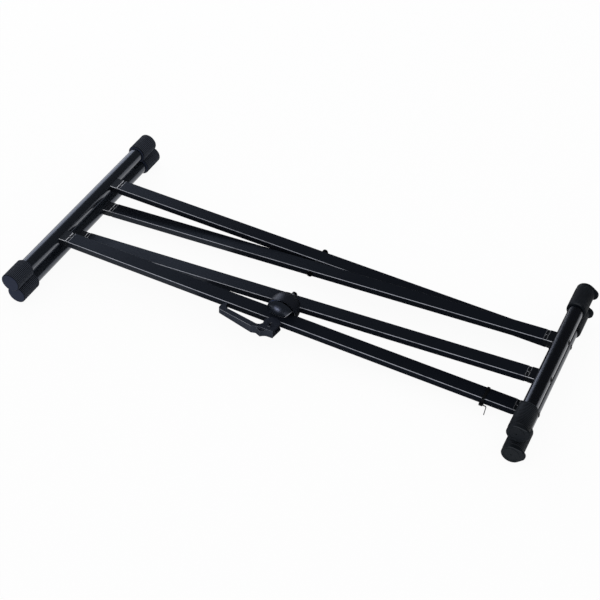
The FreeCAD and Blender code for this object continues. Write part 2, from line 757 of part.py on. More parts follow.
def make_handle_plan():
    """Closed outline, anticlockwise from the front corner of the boss's flat end."""
    turn = math.radians(boss_end_angle)
    foot = vec(boss_end_reach * math.cos(turn), -boss_end_reach * math.sin(turn), 0)
    along = vec(math.sin(turn), math.cos(turn), 0)
    centre = vec(boss_shift_x, boss_shift_y, 0)
    offset = centre - foot
    from_foot = offset.dot(along)
    half_chord = math.sqrt(boss_r ** 2 - (offset.Length ** 2 - from_foot ** 2))
    end_rear = foot + along * (from_foot + half_chord)
    end_front = foot - along * boss_end_front
    curl_y = pin_reach - 2 * running_gap
    curl_inner = vec(-handle_length * curl_inner_share, curl_y, 0)
    curl_outer = vec(-handle_length * curl_outer_share, curl_y, 0)
    gap_start = on_boss(gap_angle)
    edges = [Part.makeLine(end_front, end_rear),
             arc(end_rear, on_boss(90), gap_start),
             arc(gap_start, boss_point("gap_bend"), bar_point("gap_right")),
             Part.makeLine(bar_point("gap_right"), bar_point("gap_left")),
             arc(bar_point("gap_left"), bar_point("gap_corner"), bar_point("gap_end")),
             Part.makeLine(bar_point("gap_end"), curl_inner),
             Part.makeLine(curl_inner, curl_outer),
             Part.makeLine(curl_outer, bar_point("shoulder")),
             arc(bar_point("shoulder"), bar_point("tip"), bar_point("bar_left")),
             Part.makeLine(bar_point("bar_left"), bar_point("bar_right")),
             Part.makeLine(bar_point("bar_right"), boss_point("step")),
             Part.makeLine(boss_point("step"), boss_point("nose")),
             arc(boss_point("nose"), boss_point("scallop"), boss_point("scallop_end")),
             Part.makeLine(boss_point("scallop_end"), end_front)]
    return Part.Face(Part.Wire(edges))


def make_taper_cutter():
    """Wedge above the bar, thickest at its left end."""
    start = bar_point("bar_right").x
    drop = boss_half_height - bar_end_half_height
    far = -handle_length - overrun
    low = boss_half_height - drop * (start - far) / (start + handle_length)
    top = boss_half_height + overrun
    corners = [vec(start, -handle_length, boss_half_height), vec(far, -handle_length, low),
               vec(far, -handle_length, top), vec(start, -handle_length, top)]
    return Part.Face(Part.makePolygon(corners + corners[:1])).extrude(vec(0, 2 * handle_length, 0))


def make_nose_cutter():
    """Lowers the top of the nose in front of a shallow arc."""
    front = boss_point("nose").y - overrun
    left = boss_point("step")
    right = boss_point("scallop_end")
    edges = [arc(left, boss_point("recess"), right),
             Part.makeLine(right, vec(right.x, front, 0)),
             Part.makeLine(vec(right.x, front, 0), vec(left.x, front, 0)),
             Part.makeLine(vec(left.x, front, 0), left)]
    plate = Part.Face(Part.Wire(edges)).extrude(vec(0, 0, nose_drop + overrun))
    return moved(plate, 0, 0, boss_half_height - nose_drop)


def make_rod_slot():
    """Room for the rod's end as the handle swings, open to the rear and to the end of the boss."""
    half = rod_r + running_gap
    reach = handle_length / 2
    sweep = swing_angle + slot_extra_angle
    lane = box(0, reach, -half, half, -half, half)
    first = turned(lane, 90, axis_z)
    last = turned(lane, 90 - sweep, axis_z)
    a = math.radians(90 - sweep)
    corners = [origin, vec(0, reach, 0), vec(reach, reach, 0),
               vec(reach * math.cos(a), reach * math.sin(a), 0)]
    fan = Part.Face(Part.makePolygon(corners + corners[:1])).extrude(vec(0, 0, 2 * half))
    hub = cylinder(half, 2 * half, vec(0, 0, -half), axis_z)
    return joined([first, last, moved(fan, 0, 0, -half), hub])


def make_leg_room():
    """Room for the leg between the two cheeks, behind the round cam."""
    room_half = half_height + running_gap
    reach = boss_r + boss_shift_x + overrun
    block = box(-reach, reach, 0, 2 * reach, -room_half, room_half)
    cam_r = pin_reach - running_gap
    cam = cylinder(cam_r, 2 * room_half, vec(cam_offset, 0, -room_half), axis_z)
    bar_side = box(-2 * reach, -cam_r + cam_offset, 0, bar_width, -room_half, room_half)
    return block.cut(cam).cut(bar_side)


def find_long_rims(body):
    """Upper and lower edges of the bar's front and of the boss's round."""
    rims = []
    for spot in ((bar_point("bar_left") + bar_point("bar_right")) * 0.5, on_boss(90)):
        upright = Part.makeLine(spot - axis_z * handle_length, spot + axis_z * handle_length)
        for edge in body.Edges:
            level = abs(edge.firstVertex().Z - edge.lastVertex().Z) < boss_half_height
            if level and edge.distToShape(upright)[0] < handle_edge:
                rims.append(edge)
    return rims


def make_release_handle():
    plan = moved(make_handle_plan(), 0, 0, -boss_half_height)
    body = plan.extrude(vec(0, 0, 2 * boss_half_height))
    taper = make_taper_cutter()
    body = cut_all(body, [taper, mirrored(taper, axis_z)])
    body = body.makeFillet(handle_edge, find_long_rims(body))
    mark = ring(pin_ring_r, pin_ring_r - pin_ring_width, pin_ring_height + handle_edge,
                vec(0, 0, boss_half_height - handle_edge), axis_z)
    hole = cylinder(pin_r + bore_gap, 2 * (boss_half_height + overrun),
                    vec(0, 0, -boss_half_height - overrun), axis_z)
    body = cut_all(joined([body, mark]), [make_nose_cutter(), make_rod_slot(), make_leg_room(), hole])
    return moved(body, 0, handle_pin_y, 0)


def make_cable_tie():
    """Strap closed round the leg, its head at the lower front edge, its tail bent down beside it."""
    x0 = tie_place - tie_width / 2
    x1 = tie_place + tie_width / 2
    room = 2 * seat_gap
    grown = room + 2 * tie_thickness
    outside = bar(leg_width + grown, leg_height + grown, leg_corner_r + tie_thickness, x0, x1)
    inside = bar(leg_width + room, leg_height + room, leg_corner_r, x0, x1)
    strap = outside.cut(inside)
    front = -half_width - seat_gap
    low = -half_height - tie_head_drop
    head_x = tie_place - tie_head_shift
    head = box(head_x - tie_head_width / 2, head_x + tie_head_width / 2,
               front - tie_head_height, front, low, low + tie_head_length)
    side_x = tie_tail_side + tie_tail_thickness / 2
    inner = tie_tail_bend - tie_tail_thickness
    k = 1 - math.sqrt(0.5)
    outer_mid = vec(side_x - tie_tail_bend * k, -tie_tail_bend * k, 0)
    inner_mid = vec(side_x - tie_tail_thickness - inner * k, -tie_tail_thickness - inner * k, 0)
    edges = [Part.makeLine(origin, vec(side_x - tie_tail_bend, 0, 0)),
             arc(vec(side_x - tie_tail_bend, 0, 0), outer_mid, vec(side_x, -tie_tail_bend, 0)),
             Part.makeLine(vec(side_x, -tie_tail_bend, 0), vec(side_x, -tie_tail, 0)),
             Part.makeLine(vec(side_x, -tie_tail, 0), vec(side_x - tie_tail_thickness, -tie_tail, 0)),
             Part.makeLine(vec(side_x - tie_tail_thickness, -tie_tail, 0),
                           vec(side_x - tie_tail_thickness, -tie_tail_bend, 0)),
             arc(vec(side_x - tie_tail_thickness, -tie_tail_bend, 0), inner_mid,
                 vec(side_x - tie_tail_bend, -tie_tail_thickness, 0)),
             Part.makeLine(vec(side_x - tie_tail_bend, -tie_tail_thickness, 0),
                           vec(0, -tie_tail_thickness, 0)),
             Part.makeLine(vec(0, -tie_tail_thickness, 0), origin)]
    tail = Part.Face(Part.Wire(edges)).extrude(vec(0, 0, tie_tail_width))
    tail = turned(tail, tie_tail_angle, axis_x)
    tail = moved(tail, tie_place, front - tie_head_height / 2, low + tie_head_length / 2)
    return moved(joined([strap, head, tail]), 0, front_outer_y, 0)


# Outer frame
tilt = fold_tilt
rod_bore_r = rod_r + bore_gap
pivot_bore_r = pivot_bolt_r + bore_gap
leg_bore_r = bush_r + bore_gap
cover_screw_holes = [cylinder(lock_screw_r + bore_gap, half_width,
                              vec(side * hub_screw_reach, lock_front_y - half_width, 0), axis_y)
                     for side in (-1, 1)]
housing_screw_holes = [cylinder(lock_screw_r + bore_gap, half_width,
                                vec(side * housing_screw_reach, lock_rear_y, 0), axis_y)
                       for side in (-1, 1)]
nodes["front_outer_leg"] = (cut_all(make_leg(front_outer_y, leg_bore_r), cover_screw_holes), tilt)
nodes["rear_outer_leg"] = (make_leg(rear_outer_y, leg_bore_r), tilt)
make_frame("outer", (front_outer_y, rear_outer_y), 0, tilt, outer_lip_angles)
outer_bushes = [make_bush(front_outer_y, rod_bore_r), make_bush(rear_outer_y, pivot_bore_r)]
nodes["outer_leg_bushes"] = (Part.makeCompound(outer_bushes), tilt)
make_rear_pivot(tilt)
nodes["cable_tie"] = (make_cable_tie(), tilt)

# Inner frame
nodes["front_inner_leg"] = (cut_all(make_leg(front_inner_y, leg_bore_r), housing_screw_holes), -tilt)
nodes["rear_inner_leg"] = (make_leg(rear_inner_y, leg_bore_r), -tilt)
make_frame("inner", (front_inner_y, rear_inner_y), inner_tube_shift, -tilt, inner_lip_angles)
inner_bushes = [make_bush(front_inner_y, rod_bore_r), make_bush(rear_inner_y, pivot_bore_r)]
nodes["inner_leg_bushes"] = (Part.makeCompound(inner_bushes), -tilt)

# Lock
cover_screw_length = hub_plate + cover_plate + leg_wall + lock_screw_bite
housing_screw_length = housing_floor - screw_sink + leg_wall + lock_screw_bite
nodes["lock_cover"] = (make_lock_cover(), tilt)
nodes["lock_hub"] = (make_lock_hub(), tilt)
nodes["lock_cover_screws"] = (Part.makeCompound(
    [make_lock_screw(side * hub_screw_reach, hub_back_y, cover_screw_length, -axis_y)
     for side in (-1, 1)]), tilt)
nodes["lock_housing"] = (make_lock_housing(-2 * tilt), -tilt)
nodes["lock_housing_screws"] = (Part.makeCompound(
    [make_lock_screw(side * housing_screw_reach, floor_y + screw_sink, housing_screw_length, axis_y)
     for side in (-1, 1)]), -tilt)
nodes["lock_gear"] = (make_lock_gear(), tilt)
nodes["lock_rod"] = (make_lock_rod(), tilt)
nodes["lock_rod_cap"] = (make_rod_cap(), tilt)
nodes["lock_spring"] = (make_spring(), tilt)
nodes["handle_pin"] = (make_handle_pin(), tilt)
nodes["release_handle"] = (make_release_handle(), tilt)

# The floor lies under the lowest cap, and the origin under the middle of the outline
placed = {name: turned(shape, turn, axis_y) for name, (shape, turn) in nodes.items()}
span = Part.makeCompound(list(placed.values())).optimalBoundingBox(False, False)
shift = vec(-(span.XMin + span.XMax) / 2, -(span.YMin + span.YMax) / 2, -span.ZMin)

os.makedirs("parts", exist_ok=True)
for name, shape in placed.items():
    shape.translate(shift)
    shape.exportStep(os.path.join("parts", name + ".step"))
    print(name, len(shape.Solids), "solids", shape.isValid(), round(shape.Volume / 1000, 2), "cm3")
print("pivot at", [round(value, 3) for value in shift])
print("size", [round(value, 2) for value in (span.XLength, span.YLength, span.ZLength)])
print("fold tilt", round(tilt, 4), "handle pin at y", round(handle_pin_y + shift.y, 3))
print("lift of the rod", round(swing_lift, 3), "over", swing_angle, "degrees")
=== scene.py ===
import math

import bmesh
import bpy
from mathutils import Matrix, Vector


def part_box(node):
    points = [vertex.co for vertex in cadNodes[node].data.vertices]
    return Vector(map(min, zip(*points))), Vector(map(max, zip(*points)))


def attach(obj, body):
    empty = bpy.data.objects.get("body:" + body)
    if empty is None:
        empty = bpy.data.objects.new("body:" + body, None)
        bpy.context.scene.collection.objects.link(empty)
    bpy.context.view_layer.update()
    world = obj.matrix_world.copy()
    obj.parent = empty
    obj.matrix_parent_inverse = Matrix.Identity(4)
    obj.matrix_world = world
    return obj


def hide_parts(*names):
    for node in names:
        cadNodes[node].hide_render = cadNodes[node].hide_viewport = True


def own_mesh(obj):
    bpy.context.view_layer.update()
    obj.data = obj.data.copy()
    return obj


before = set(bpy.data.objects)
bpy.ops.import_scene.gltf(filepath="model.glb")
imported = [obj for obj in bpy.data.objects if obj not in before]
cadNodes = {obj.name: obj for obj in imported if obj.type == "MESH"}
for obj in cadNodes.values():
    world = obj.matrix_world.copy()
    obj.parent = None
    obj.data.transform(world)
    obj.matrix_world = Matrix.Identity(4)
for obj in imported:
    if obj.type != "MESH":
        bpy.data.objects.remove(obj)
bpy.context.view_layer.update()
print("stand loaded:", len(cadNodes), "pieces")


# Small helpers for node trees
def addNode(tree, kind, x, y, values=None, **settings):
    node = tree.nodes.new(kind)
    node.location = (x, y)
    for name, value in settings.items():
        setattr(node, name, value)
    for socket, value in (values or {}).items():
        node.inputs[socket].default_value = value
    return node


# Each wire is a node, its output, the next node and its input
def join(tree, *wires):
    for source, output, target, socket in wires:
        tree.links.new(source.outputs[output], target.inputs[socket])


# A group's input is a vector where its default has three numbers
def makeGroup(name, inputs, outputs):
    tree = bpy.data.node_groups.new(name, "ShaderNodeTree")
    for socketName, default in inputs.items():
        kind = "NodeSocketVector" if isinstance(default, tuple) else "NodeSocketFloat"
        socket = tree.interface.new_socket(socketName, in_out="INPUT", socket_type=kind)
        socket.default_value = default
    for socketName in outputs:
        tree.interface.new_socket(socketName, in_out="OUTPUT", socket_type="NodeSocketFloat")
    entry = addNode(tree, "NodeGroupInput", -900, 0)
    leave = addNode(tree, "NodeGroupOutput", 700, 0)
    return tree, entry, leave


def makeMaterial(name):
    material = bpy.data.materials.new(name)
    material.use_nodes = True
    tree = material.node_tree
    tree.nodes.clear()
    output = addNode(tree, "ShaderNodeOutputMaterial", 600, 0)
    shader = addNode(tree, "ShaderNodeBsdfPrincipled", 300, 0)
    tree.links.new(shader.outputs["BSDF"], output.inputs["Surface"])
    return material, tree, shader


# Orange peel: the shallow ripple and the uneven sheen of baked powder coat
def makeOrangePeel():
    tree, entry, leave = makeGroup(
        "orangePeel",
        {"Ripple Scale": 420.0, "Patch Scale": 14.0, "Sheen Low": 0.25, "Sheen High": 0.4},
        ["Height", "Roughness"])
    place = addNode(tree, "ShaderNodeTexCoord", -900, -300)
    ripple = addNode(tree, "ShaderNodeTexNoise", -500, 150, {"Detail": 2.0})
    patch = addNode(tree, "ShaderNodeTexNoise", -500, -200, {"Detail": 4.0})
    sheen = addNode(tree, "ShaderNodeMapRange", 0, -200, {"From Min": 0.35, "From Max": 0.65})
    join(tree,
         (place, "Object", ripple, "Vector"), (entry, "Ripple Scale", ripple, "Scale"),
         (place, "Object", patch, "Vector"), (entry, "Patch Scale", patch, "Scale"),
         (patch, "Fac", sheen, "Value"),
         (entry, "Sheen Low", sheen, "To Min"), (entry, "Sheen High", sheen, "To Max"),
         (ripple, "Fac", leave, "Height"), (sheen, "Result", leave, "Roughness"))
    return tree


bevelSamples = 8  # rays that find a corner, for both kinds of edge


# Painted highlight edge: a thin pale line painted along the corners that face the chosen way,
# standing in for a glint there, a little broken up
def makePaintedHighlightEdge():
    tree, entry, leave = makeGroup(
        "paintedHighlightEdge",
        {"Width": 0.0012, "Breakup Scale": 60.0, "Facing": (0.0, 0.0, 0.0), "Facing Limit": 0.9,
         "Amount": 1.0},
        ["Mask"])
    place = addNode(tree, "ShaderNodeTexCoord", -900, -300)
    soft = addNode(tree, "ShaderNodeBevel", -500, 200, samples=bevelSamples)
    rounded = addNode(tree, "ShaderNodeVectorMath", -250, 300, operation="DOT_PRODUCT")
    turned = addNode(tree, "ShaderNodeMath", 0, 300, operation="SUBTRACT")
    chosen = addNode(tree, "ShaderNodeMapRange", 200, 300, {"From Max": 0.05})
    breakup = addNode(tree, "ShaderNodeTexNoise", -500, -250, {"Detail": 3.0})
    gate = addNode(tree, "ShaderNodeMapRange", -250, -250,
                   {"From Min": 0.2, "From Max": 0.5, "To Min": 0.4})
    broken = addNode(tree, "ShaderNodeMath", 400, 100, operation="MULTIPLY")
    scaled = addNode(tree, "ShaderNodeMath", 550, 0, operation="MULTIPLY")
    join(tree,
         (entry, "Width", soft, "Radius"),
         (soft, "Normal", rounded, 0), (entry, "Facing", rounded, 1),
         (rounded, "Value", turned, 0), (entry, "Facing Limit", turned, 1),
         (turned, "Value", chosen, "Value"),
         (place, "Object", breakup, "Vector"), (entry, "Breakup Scale", breakup, "Scale"),
         (breakup, "Fac", gate, "Value"),
         (chosen, "Result", broken, 0), (gate, "Result", broken, 1),
         (broken, "Value", scaled, 0), (entry, "Amount", scaled, 1),
         (scaled, "Value", leave, "Mask"))
    return tree


# Corner wear and highlight: sharp corners a little paler, if they face up or down by less than
# the tilt limit. Light wear on most parts, a painted highlight on the handle's upright corners
def makeCornerWearAndHighlight():
    tree, entry, leave = makeGroup(
        "cornerWearAndHighlight", {"Width": 0.0012, "Amount": 0.2, "Tilt Limit": 2.0}, ["Mask"])
    soft = addNode(tree, "ShaderNodeBevel", -500, 200, samples=bevelSamples)
    geometry = addNode(tree, "ShaderNodeNewGeometry", -500, 0)
    corner = addNode(tree, "ShaderNodeVectorMath", -250, 50, operation="DOT_PRODUCT")
    sharp = addNode(tree, "ShaderNodeMapRange", 0, 50, {"From Min": 0.985, "From Max": 0.9})
    parts = addNode(tree, "ShaderNodeSeparateXYZ", -250, 300)
    tilt = addNode(tree, "ShaderNodeMath", -50, 300, operation="ABSOLUTE")
    upright = addNode(tree, "ShaderNodeMath", 150, 300, operation="LESS_THAN")
    allowed = addNode(tree, "ShaderNodeMath", 300, 150, operation="MULTIPLY")
    scaled = addNode(tree, "ShaderNodeMath", 500, 0, operation="MULTIPLY")
    join(tree,
         (entry, "Width", soft, "Radius"),
         (soft, "Normal", corner, 0), (geometry, "Normal", corner, 1),
         (corner, "Value", sharp, "Value"),
         (soft, "Normal", parts, "Vector"), (parts, "Z", tilt, 0),
         (tilt, "Value", upright, 0), (entry, "Tilt Limit", upright, 1),
         (sharp, "Result", allowed, 0), (upright, "Value", allowed, 1),
         (allowed, "Value", scaled, 0), (entry, "Amount", scaled, 1),
         (scaled, "Value", leave, "Mask"))
    return tree


grooveFit = {
    "crosswise": (1.0, 0.0, 1.0),  # leaves out the way along the axis
    "discShare": 0.965,  # how much of the grooves' lowest radius counts as end disc
}


# Grooves by distance from an axis along Y: Rib is 0 in the grooves and 1 on the ribs, and Disc is
# 1 on the end inside them
def makeGrooveDepth(fit):
    tree, entry, leave = makeGroup(
        "grooveDepth", {"Axis": (0.0, 0.0, 0.0), "Lowest": 0.018, "Highest": 0.019},
        ["Rib", "Disc"])
    place = addNode(tree, "ShaderNodeTexCoord", -900, 0)
    away = addNode(tree, "ShaderNodeVectorMath", -650, 0, operation="SUBTRACT")
    across = addNode(tree, "ShaderNodeVectorMath", -400, 0, {1: fit["crosswise"]},
                     operation="MULTIPLY")
    reach = addNode(tree, "ShaderNodeVectorMath", -150, 0, operation="LENGTH")
    depth = addNode(tree, "ShaderNodeMapRange", 150, 0)
    shrunk = addNode(tree, "ShaderNodeMath", -150, 250, {1: fit["discShare"]},
                     operation="MULTIPLY")
    disc = addNode(tree, "ShaderNodeMath", 150, 250, operation="LESS_THAN")
    join(tree,
         (place, "Object", away, 0), (entry, "Axis", away, 1),
         (away, "Vector", across, 0), (across, "Vector", reach, 0),
         (reach, "Value", depth, "Value"),
         (entry, "Lowest", depth, "From Min"), (entry, "Highest", depth, "From Max"),
         (entry, "Lowest", shrunk, 0),
         (reach, "Value", disc, 0), (shrunk, "Value", disc, 1),
         (depth, "Result", leave, "Rib"), (disc, "Value", leave, "Disc"))
    return tree


# Seam shade: painted shade, a dark band between two places along Y beside the cover's groove
def makeSeamShade():
    tree, entry, leave = makeGroup("seamShade", {"Near": -0.0899, "Far": -0.0876}, ["Mask"])
    place = addNode(tree, "ShaderNodeTexCoord", -900, 0)
    parts = addNode(tree, "ShaderNodeSeparateXYZ", -650, 0)
    past = addNode(tree, "ShaderNodeMath", -300, 150, operation="GREATER_THAN")
    before = addNode(tree, "ShaderNodeMath", -300, -150, operation="LESS_THAN")
    between = addNode(tree, "ShaderNodeMath", 100, 0, operation="MULTIPLY")
    join(tree,
         (place, "Object", parts, "Vector"),
         (parts, "Y", past, 0), (entry, "Near", past, 1),
         (parts, "Y", before, 0), (entry, "Far", before, 1),
         (past, "Value", between, 0), (before, "Value", between, 1),
         (between, "Value", leave, "Mask"))
    return tree


# Mould grain: spark-eroded texture of moulded plastic and rubber, with a faint cloudiness
def makeMouldGrain():
    tree, entry, leave = makeGroup(
        "mouldGrain",
        {"Grain Scale": 900.0, "Cloud Scale": 25.0, "Cloud Low": 0.45, "Cloud High": 0.6},
        ["Height", "Roughness", "Cloud"])
    place = addNode(tree, "ShaderNodeTexCoord", -900, -300)
    grain = addNode(tree, "ShaderNodeTexVoronoi", -500, 200)
    fine = addNode(tree, "ShaderNodeTexNoise", -500, -50, {"Detail": 3.0})
    mixed = addNode(tree, "ShaderNodeMath", -200, 100, operation="ADD")
    cloud = addNode(tree, "ShaderNodeTexNoise", -500, -300, {"Detail": 5.0})
    sheen = addNode(tree, "ShaderNodeMapRange", 0, -200, {"From Min": 0.3, "From Max": 0.7})
    join(tree,
         (place, "Object", grain, "Vector"), (entry, "Grain Scale", grain, "Scale"),
         (place, "Object", fine, "Vector"), (entry, "Grain Scale", fine, "Scale"),
         (place, "Object", cloud, "Vector"), (entry, "Cloud Scale", cloud, "Scale"),
         (grain, "Distance", mixed, 0), (fine, "Fac", mixed, 1),
         (cloud, "Fac", sheen, "Value"),
         (entry, "Cloud Low", sheen, "To Min"), (entry, "Cloud High", sheen, "To Max"),
         (mixed, "Value", leave, "Height"), (sheen, "Result", leave, "Roughness"),
         (cloud, "Fac", leave, "Cloud"))
    return tree


markStretch = (1.0, 14.0, 14.0)  # draws the handling marks out along X


# Scuffs: sparse hair-thin handling marks, gathered in patches
def makeScuffs(stretch):
    tree, entry, leave = makeGroup(
        "scuffs", {"Mark Scale": 60.0, "Patch Scale": 9.0, "Amount": 0.5}, ["Mask"])
    place = addNode(tree, "ShaderNodeTexCoord", -1100, -300)
    drawn = addNode(tree, "ShaderNodeMapping", -900, -150, {"Scale": stretch})
    marks = addNode(tree, "ShaderNodeTexNoise", -600, 100, {"Detail": 3.0, "Distortion": 0.6})
    thin = addNode(tree, "ShaderNodeMapRange", -300, 100, {"From Min": 0.62, "From Max": 0.68})
    patch = addNode(tree, "ShaderNodeTexNoise", -600, -250, {"Detail": 4.0})
    gathered = addNode(tree, "ShaderNodeMapRange", -300, -250,
                       {"From Min": 0.5, "From Max": 0.66})
    both = addNode(tree, "ShaderNodeMath", 100, 0, operation="MULTIPLY")
    scaled = addNode(tree, "ShaderNodeMath", 350, 0, operation="MULTIPLY")
    join(tree,
         (place, "Object", drawn, "Vector"), (drawn, "Vector", marks, "Vector"),
         (entry, "Mark Scale", marks, "Scale"), (marks, "Fac", thin, "Value"),
         (place, "Object", patch, "Vector"), (entry, "Patch Scale", patch, "Scale"),
         (patch, "Fac", gathered, "Value"),
         (thin, "Result", both, 0), (gathered, "Result", both, 1),
         (both, "Value", scaled, 0), (entry, "Amount", scaled, 1),
         (scaled, "Value", leave, "Mask"))
    return tree


orangePeel = makeOrangePeel()
paintedHighlightEdge = makePaintedHighlightEdge()
cornerWearAndHighlight = makeCornerWearAndHighlight()
grooveDepth = makeGrooveDepth(grooveFit)
seamShade = makeSeamShade()
mouldGrain = makeMouldGrain()
scuffs = makeScuffs(markStretch)
print("shader groups ready")


def useGroup(tree, group, x, y, values):
    return addNode(tree, "ShaderNodeGroup", x, y, values, node_tree=group)


# The colour sockets of a Mix node share their names with its other kinds, so they go by number
mixSockets = {"mask": 0, "low": 6, "high": 7, "result": 2}


# Either colour may be three numbers or the output of another node
def mixColours(tree, mask, low, high, x, y):
    mix = addNode(tree, "ShaderNodeMix", x, y, data_type="RGBA")
    tree.links.new(mask, mix.inputs[mixSockets["mask"]])
    for colour, socket in ((low, mix.inputs[mixSockets["low"]]),
                           (high, mix.inputs[mixSockets["high"]])):
        if isinstance(colour, tuple):
            socket.default_value = (*colour, 1.0)
        else:
            tree.links.new(colour, socket)
    return mix.outputs[mixSockets["result"]]


def addBump(tree, shader, height, strength, depth):
    bump = addNode(tree, "ShaderNodeBump", 0, -250, {"Strength": strength, "Distance": depth})
    tree.links.new(height, bump.inputs["Height"])
    tree.links.new(bump.outputs["Normal"], shader.inputs["Normal"])


# Painted shade: the grooves are painted dark, and an end disc, where the look has one, darker
def addGrooves(tree, look, colour):
    lowest, highest = look["grooveReach"]
    depth = useGroup(tree, grooveDepth, -900, 400,
                     {"Axis": look["grooveAxis"], "Lowest": lowest, "Highest": highest})
    colour = mixColours(tree, depth.outputs["Rib"], look["grooveShadeColour"], colour, -400, 50)
    if "discShadeColour" in look:
        colour = mixColours(tree, depth.outputs["Disc"], colour, look["discShadeColour"], -300, 50)
    return colour


# A look may have pale corners, any number of painted highlight lines along edges, or neither
def addEdgesAndMarks(tree, look, colour):
    if "cornerColour" in look:
        corner = useGroup(tree, cornerWearAndHighlight, -700, 300, {
            "Width": look["edgeWidth"], "Amount": look["cornerAmount"],
            "Tilt Limit": look["tiltLimit"]})
        colour = mixColours(tree, corner.outputs["Mask"], colour, look["cornerColour"], -300, 300)
    # Painted highlight: a pale line in the highlight colour along each chosen edge
    for facing, limit, amount in look.get("paintedHighlightEdges", []):
        edge = useGroup(tree, paintedHighlightEdge, -700, 500, {
            "Width": look["edgeWidth"], "Facing": facing, "Facing Limit": limit,
            "Amount": amount})
        colour = mixColours(tree, edge.outputs["Mask"], colour, look["highlightColour"], -200, 400)
    marks = useGroup(tree, scuffs, -700, 700,
                     {"Mark Scale": look["markScale"], "Amount": look["markAmount"]})
    return mixColours(tree, marks.outputs["Mask"], colour, look["markColour"], -100, 500)


# Painted shade: a black band with no gloss beside the groove
def addSeamShade(tree, shader, look, colour):
    near, far = look["seamShade"]
    band = useGroup(tree, seamShade, -300, 800, {"Near": near, "Far": far})
    tree.links.new(band.outputs["Mask"], shader.inputs["Metallic"])  # takes its gloss away
    return mixColours(tree, band.outputs["Mask"], colour, look["seamShadeColour"], 0, 600)


def setGloss(shader, look):
    shader.inputs["Specular IOR Level"].default_value = look["specular"]
    shader.inputs["Specular Tint"].default_value = (*look["specularTint"], 1.0)


# Baked powder coat on steel
def paintFinish(name, look):
    material, tree, shader = makeMaterial(name)
    sheenLow, sheenHigh = look["sheen"]
    peel = useGroup(tree, orangePeel, -700, -100, {
        "Ripple Scale": look["rippleScale"], "Sheen Low": sheenLow, "Sheen High": sheenHigh})
    colour = addEdgesAndMarks(tree, look, look["colour"])
    tree.links.new(colour, shader.inputs["Base Color"])
    tree.links.new(peel.outputs["Roughness"], shader.inputs["Roughness"])
    addBump(tree, shader, peel.outputs["Height"], look["rippleStrength"], look["rippleDepth"])
    setGloss(shader, look)
    return material


# Moulded plastic and rubber
def mouldedFinish(name, look):
    material, tree, shader = makeMaterial(name)
    sheenLow, sheenHigh = look["sheen"]
    grain = useGroup(tree, mouldGrain, -700, -100, {
        "Grain Scale": look["grainScale"], "Cloud Low": sheenLow, "Cloud High": sheenHigh})
    colour = mixColours(tree, grain.outputs["Cloud"], look["colour"], look["cloudColour"],
                        -500, 100)
    if "grooveAxis" in look:
        colour = addGrooves(tree, look, colour)
    colour = addEdgesAndMarks(tree, look, colour)
    if "seamShade" in look:
        colour = addSeamShade(tree, shader, look, colour)
    tree.links.new(colour, shader.inputs["Base Color"])
    tree.links.new(grain.outputs["Roughness"], shader.inputs["Roughness"])
    addBump(tree, shader, grain.outputs["Height"], look["grainStrength"], look["grainDepth"])
    setGloss(shader, look)
    return material


# Plated and blackened steel
def metalFinish(name, look):
    material, tree, shader = makeMaterial(name)
    sheenLow, sheenHigh = look["sheen"]
    peel = useGroup(tree, orangePeel, -700, -100, {
        "Ripple Scale": look["rippleScale"], "Patch Scale": look["patchScale"],
        "Sheen Low": sheenLow, "Sheen High": sheenHigh})
    marks = useGroup(tree, scuffs, -700, 300,
                     {"Mark Scale": look["markScale"], "Amount": look["markAmount"]})
    mottled = mixColours(tree, peel.outputs["Height"], look["colour"], look["cloudColour"],
                         -350, 200)
    colour = mixColours(tree, marks.outputs["Mask"], mottled, look["markColour"], -150, 300)
    tree.links.new(colour, shader.inputs["Base Color"])
    tree.links.new(peel.outputs["Roughness"], shader.inputs["Roughness"])
    shader.inputs["Metallic"].default_value = 1.0
    addBump(tree, shader, peel.outputs["Height"], look["rippleStrength"], look["rippleDepth"])
    return material


def dress(material, *names):
    for name in names:
        mesh = cadNodes[name].data
        mesh.materials.clear()
        mesh.materials.append(material)


# A star stands for the outer and the inner frame
def frameNames(*patterns):
    return [pattern.replace("*", side) for pattern in patterns for side in ("outer", "inner")]


# The ways that painted highlights face. Each painted highlight edge is a way, how nearly a corner
# faces it, and how bright the painted line is.
upAndFront = (0.0, -0.707, 0.707)
upAndLeft = (-0.7, 0.0, 0.714)
upAndRight = (0.7, 0.0, 0.714)
rightAndFront = (0.73, -0.65, -0.18)
downAndFront = (0.0, -0.72, -0.69)

everyTilt = 2.0  # more than any corner faces up or down, so all sharp corners are worn

# Rectangular legs, with painted highlights along corners facing up and to the front, the left
# and the right
legLook = {
    "colour": (0.0054, 0.0068, 0.0104),
    "paintedHighlightEdges": [(upAndFront, 0.935, 1.0), (upAndLeft, 0.88, 1.0), (upAndRight, 0.88, 0.25)],
    "highlightColour": (0.46, 0.475, 0.53),
    "edgeWidth": 0.0014,
    "markColour": (0.012, 0.013, 0.016),
    "markScale": 60.0,
    "markAmount": 0.4,
    "rippleScale": 420.0,
    "rippleStrength": 0.08,
    "rippleDepth": 0.0002,
    "sheen": (0.32, 0.38),
    "specular": 0.16,
    "specularTint": (0.55, 0.7, 1.0),
}
dress(paintFinish("legPaint", legLook), *frameNames("front_*_leg", "rear_*_leg"))

# Round tubes, the base tubes a little paler than the arms: painted light, a lit copy of one paint
tubeLook = {
    "colour": (0.001, 0.0016, 0.0034),
    "markColour": (0.014, 0.015, 0.018),
    "markScale": 50.0,
    "markAmount": 0.3,
    "rippleScale": 300.0,
    "rippleStrength": 0.012,
    "rippleDepth": 0.0002,
    "sheen": (0.22, 0.24),
    "specular": 0.92,
    "specularTint": (0.76, 0.83, 1.0),
}
litBaseTubeLook = dict(tubeLook, colour=(0.0075, 0.0098, 0.0135))
dress(paintFinish("armTubePaint", tubeLook), *frameNames("*_arm_tube"))
dress(paintFinish("litBaseTubePaint", litBaseTubeLook), *frameNames("*_base_tube"))
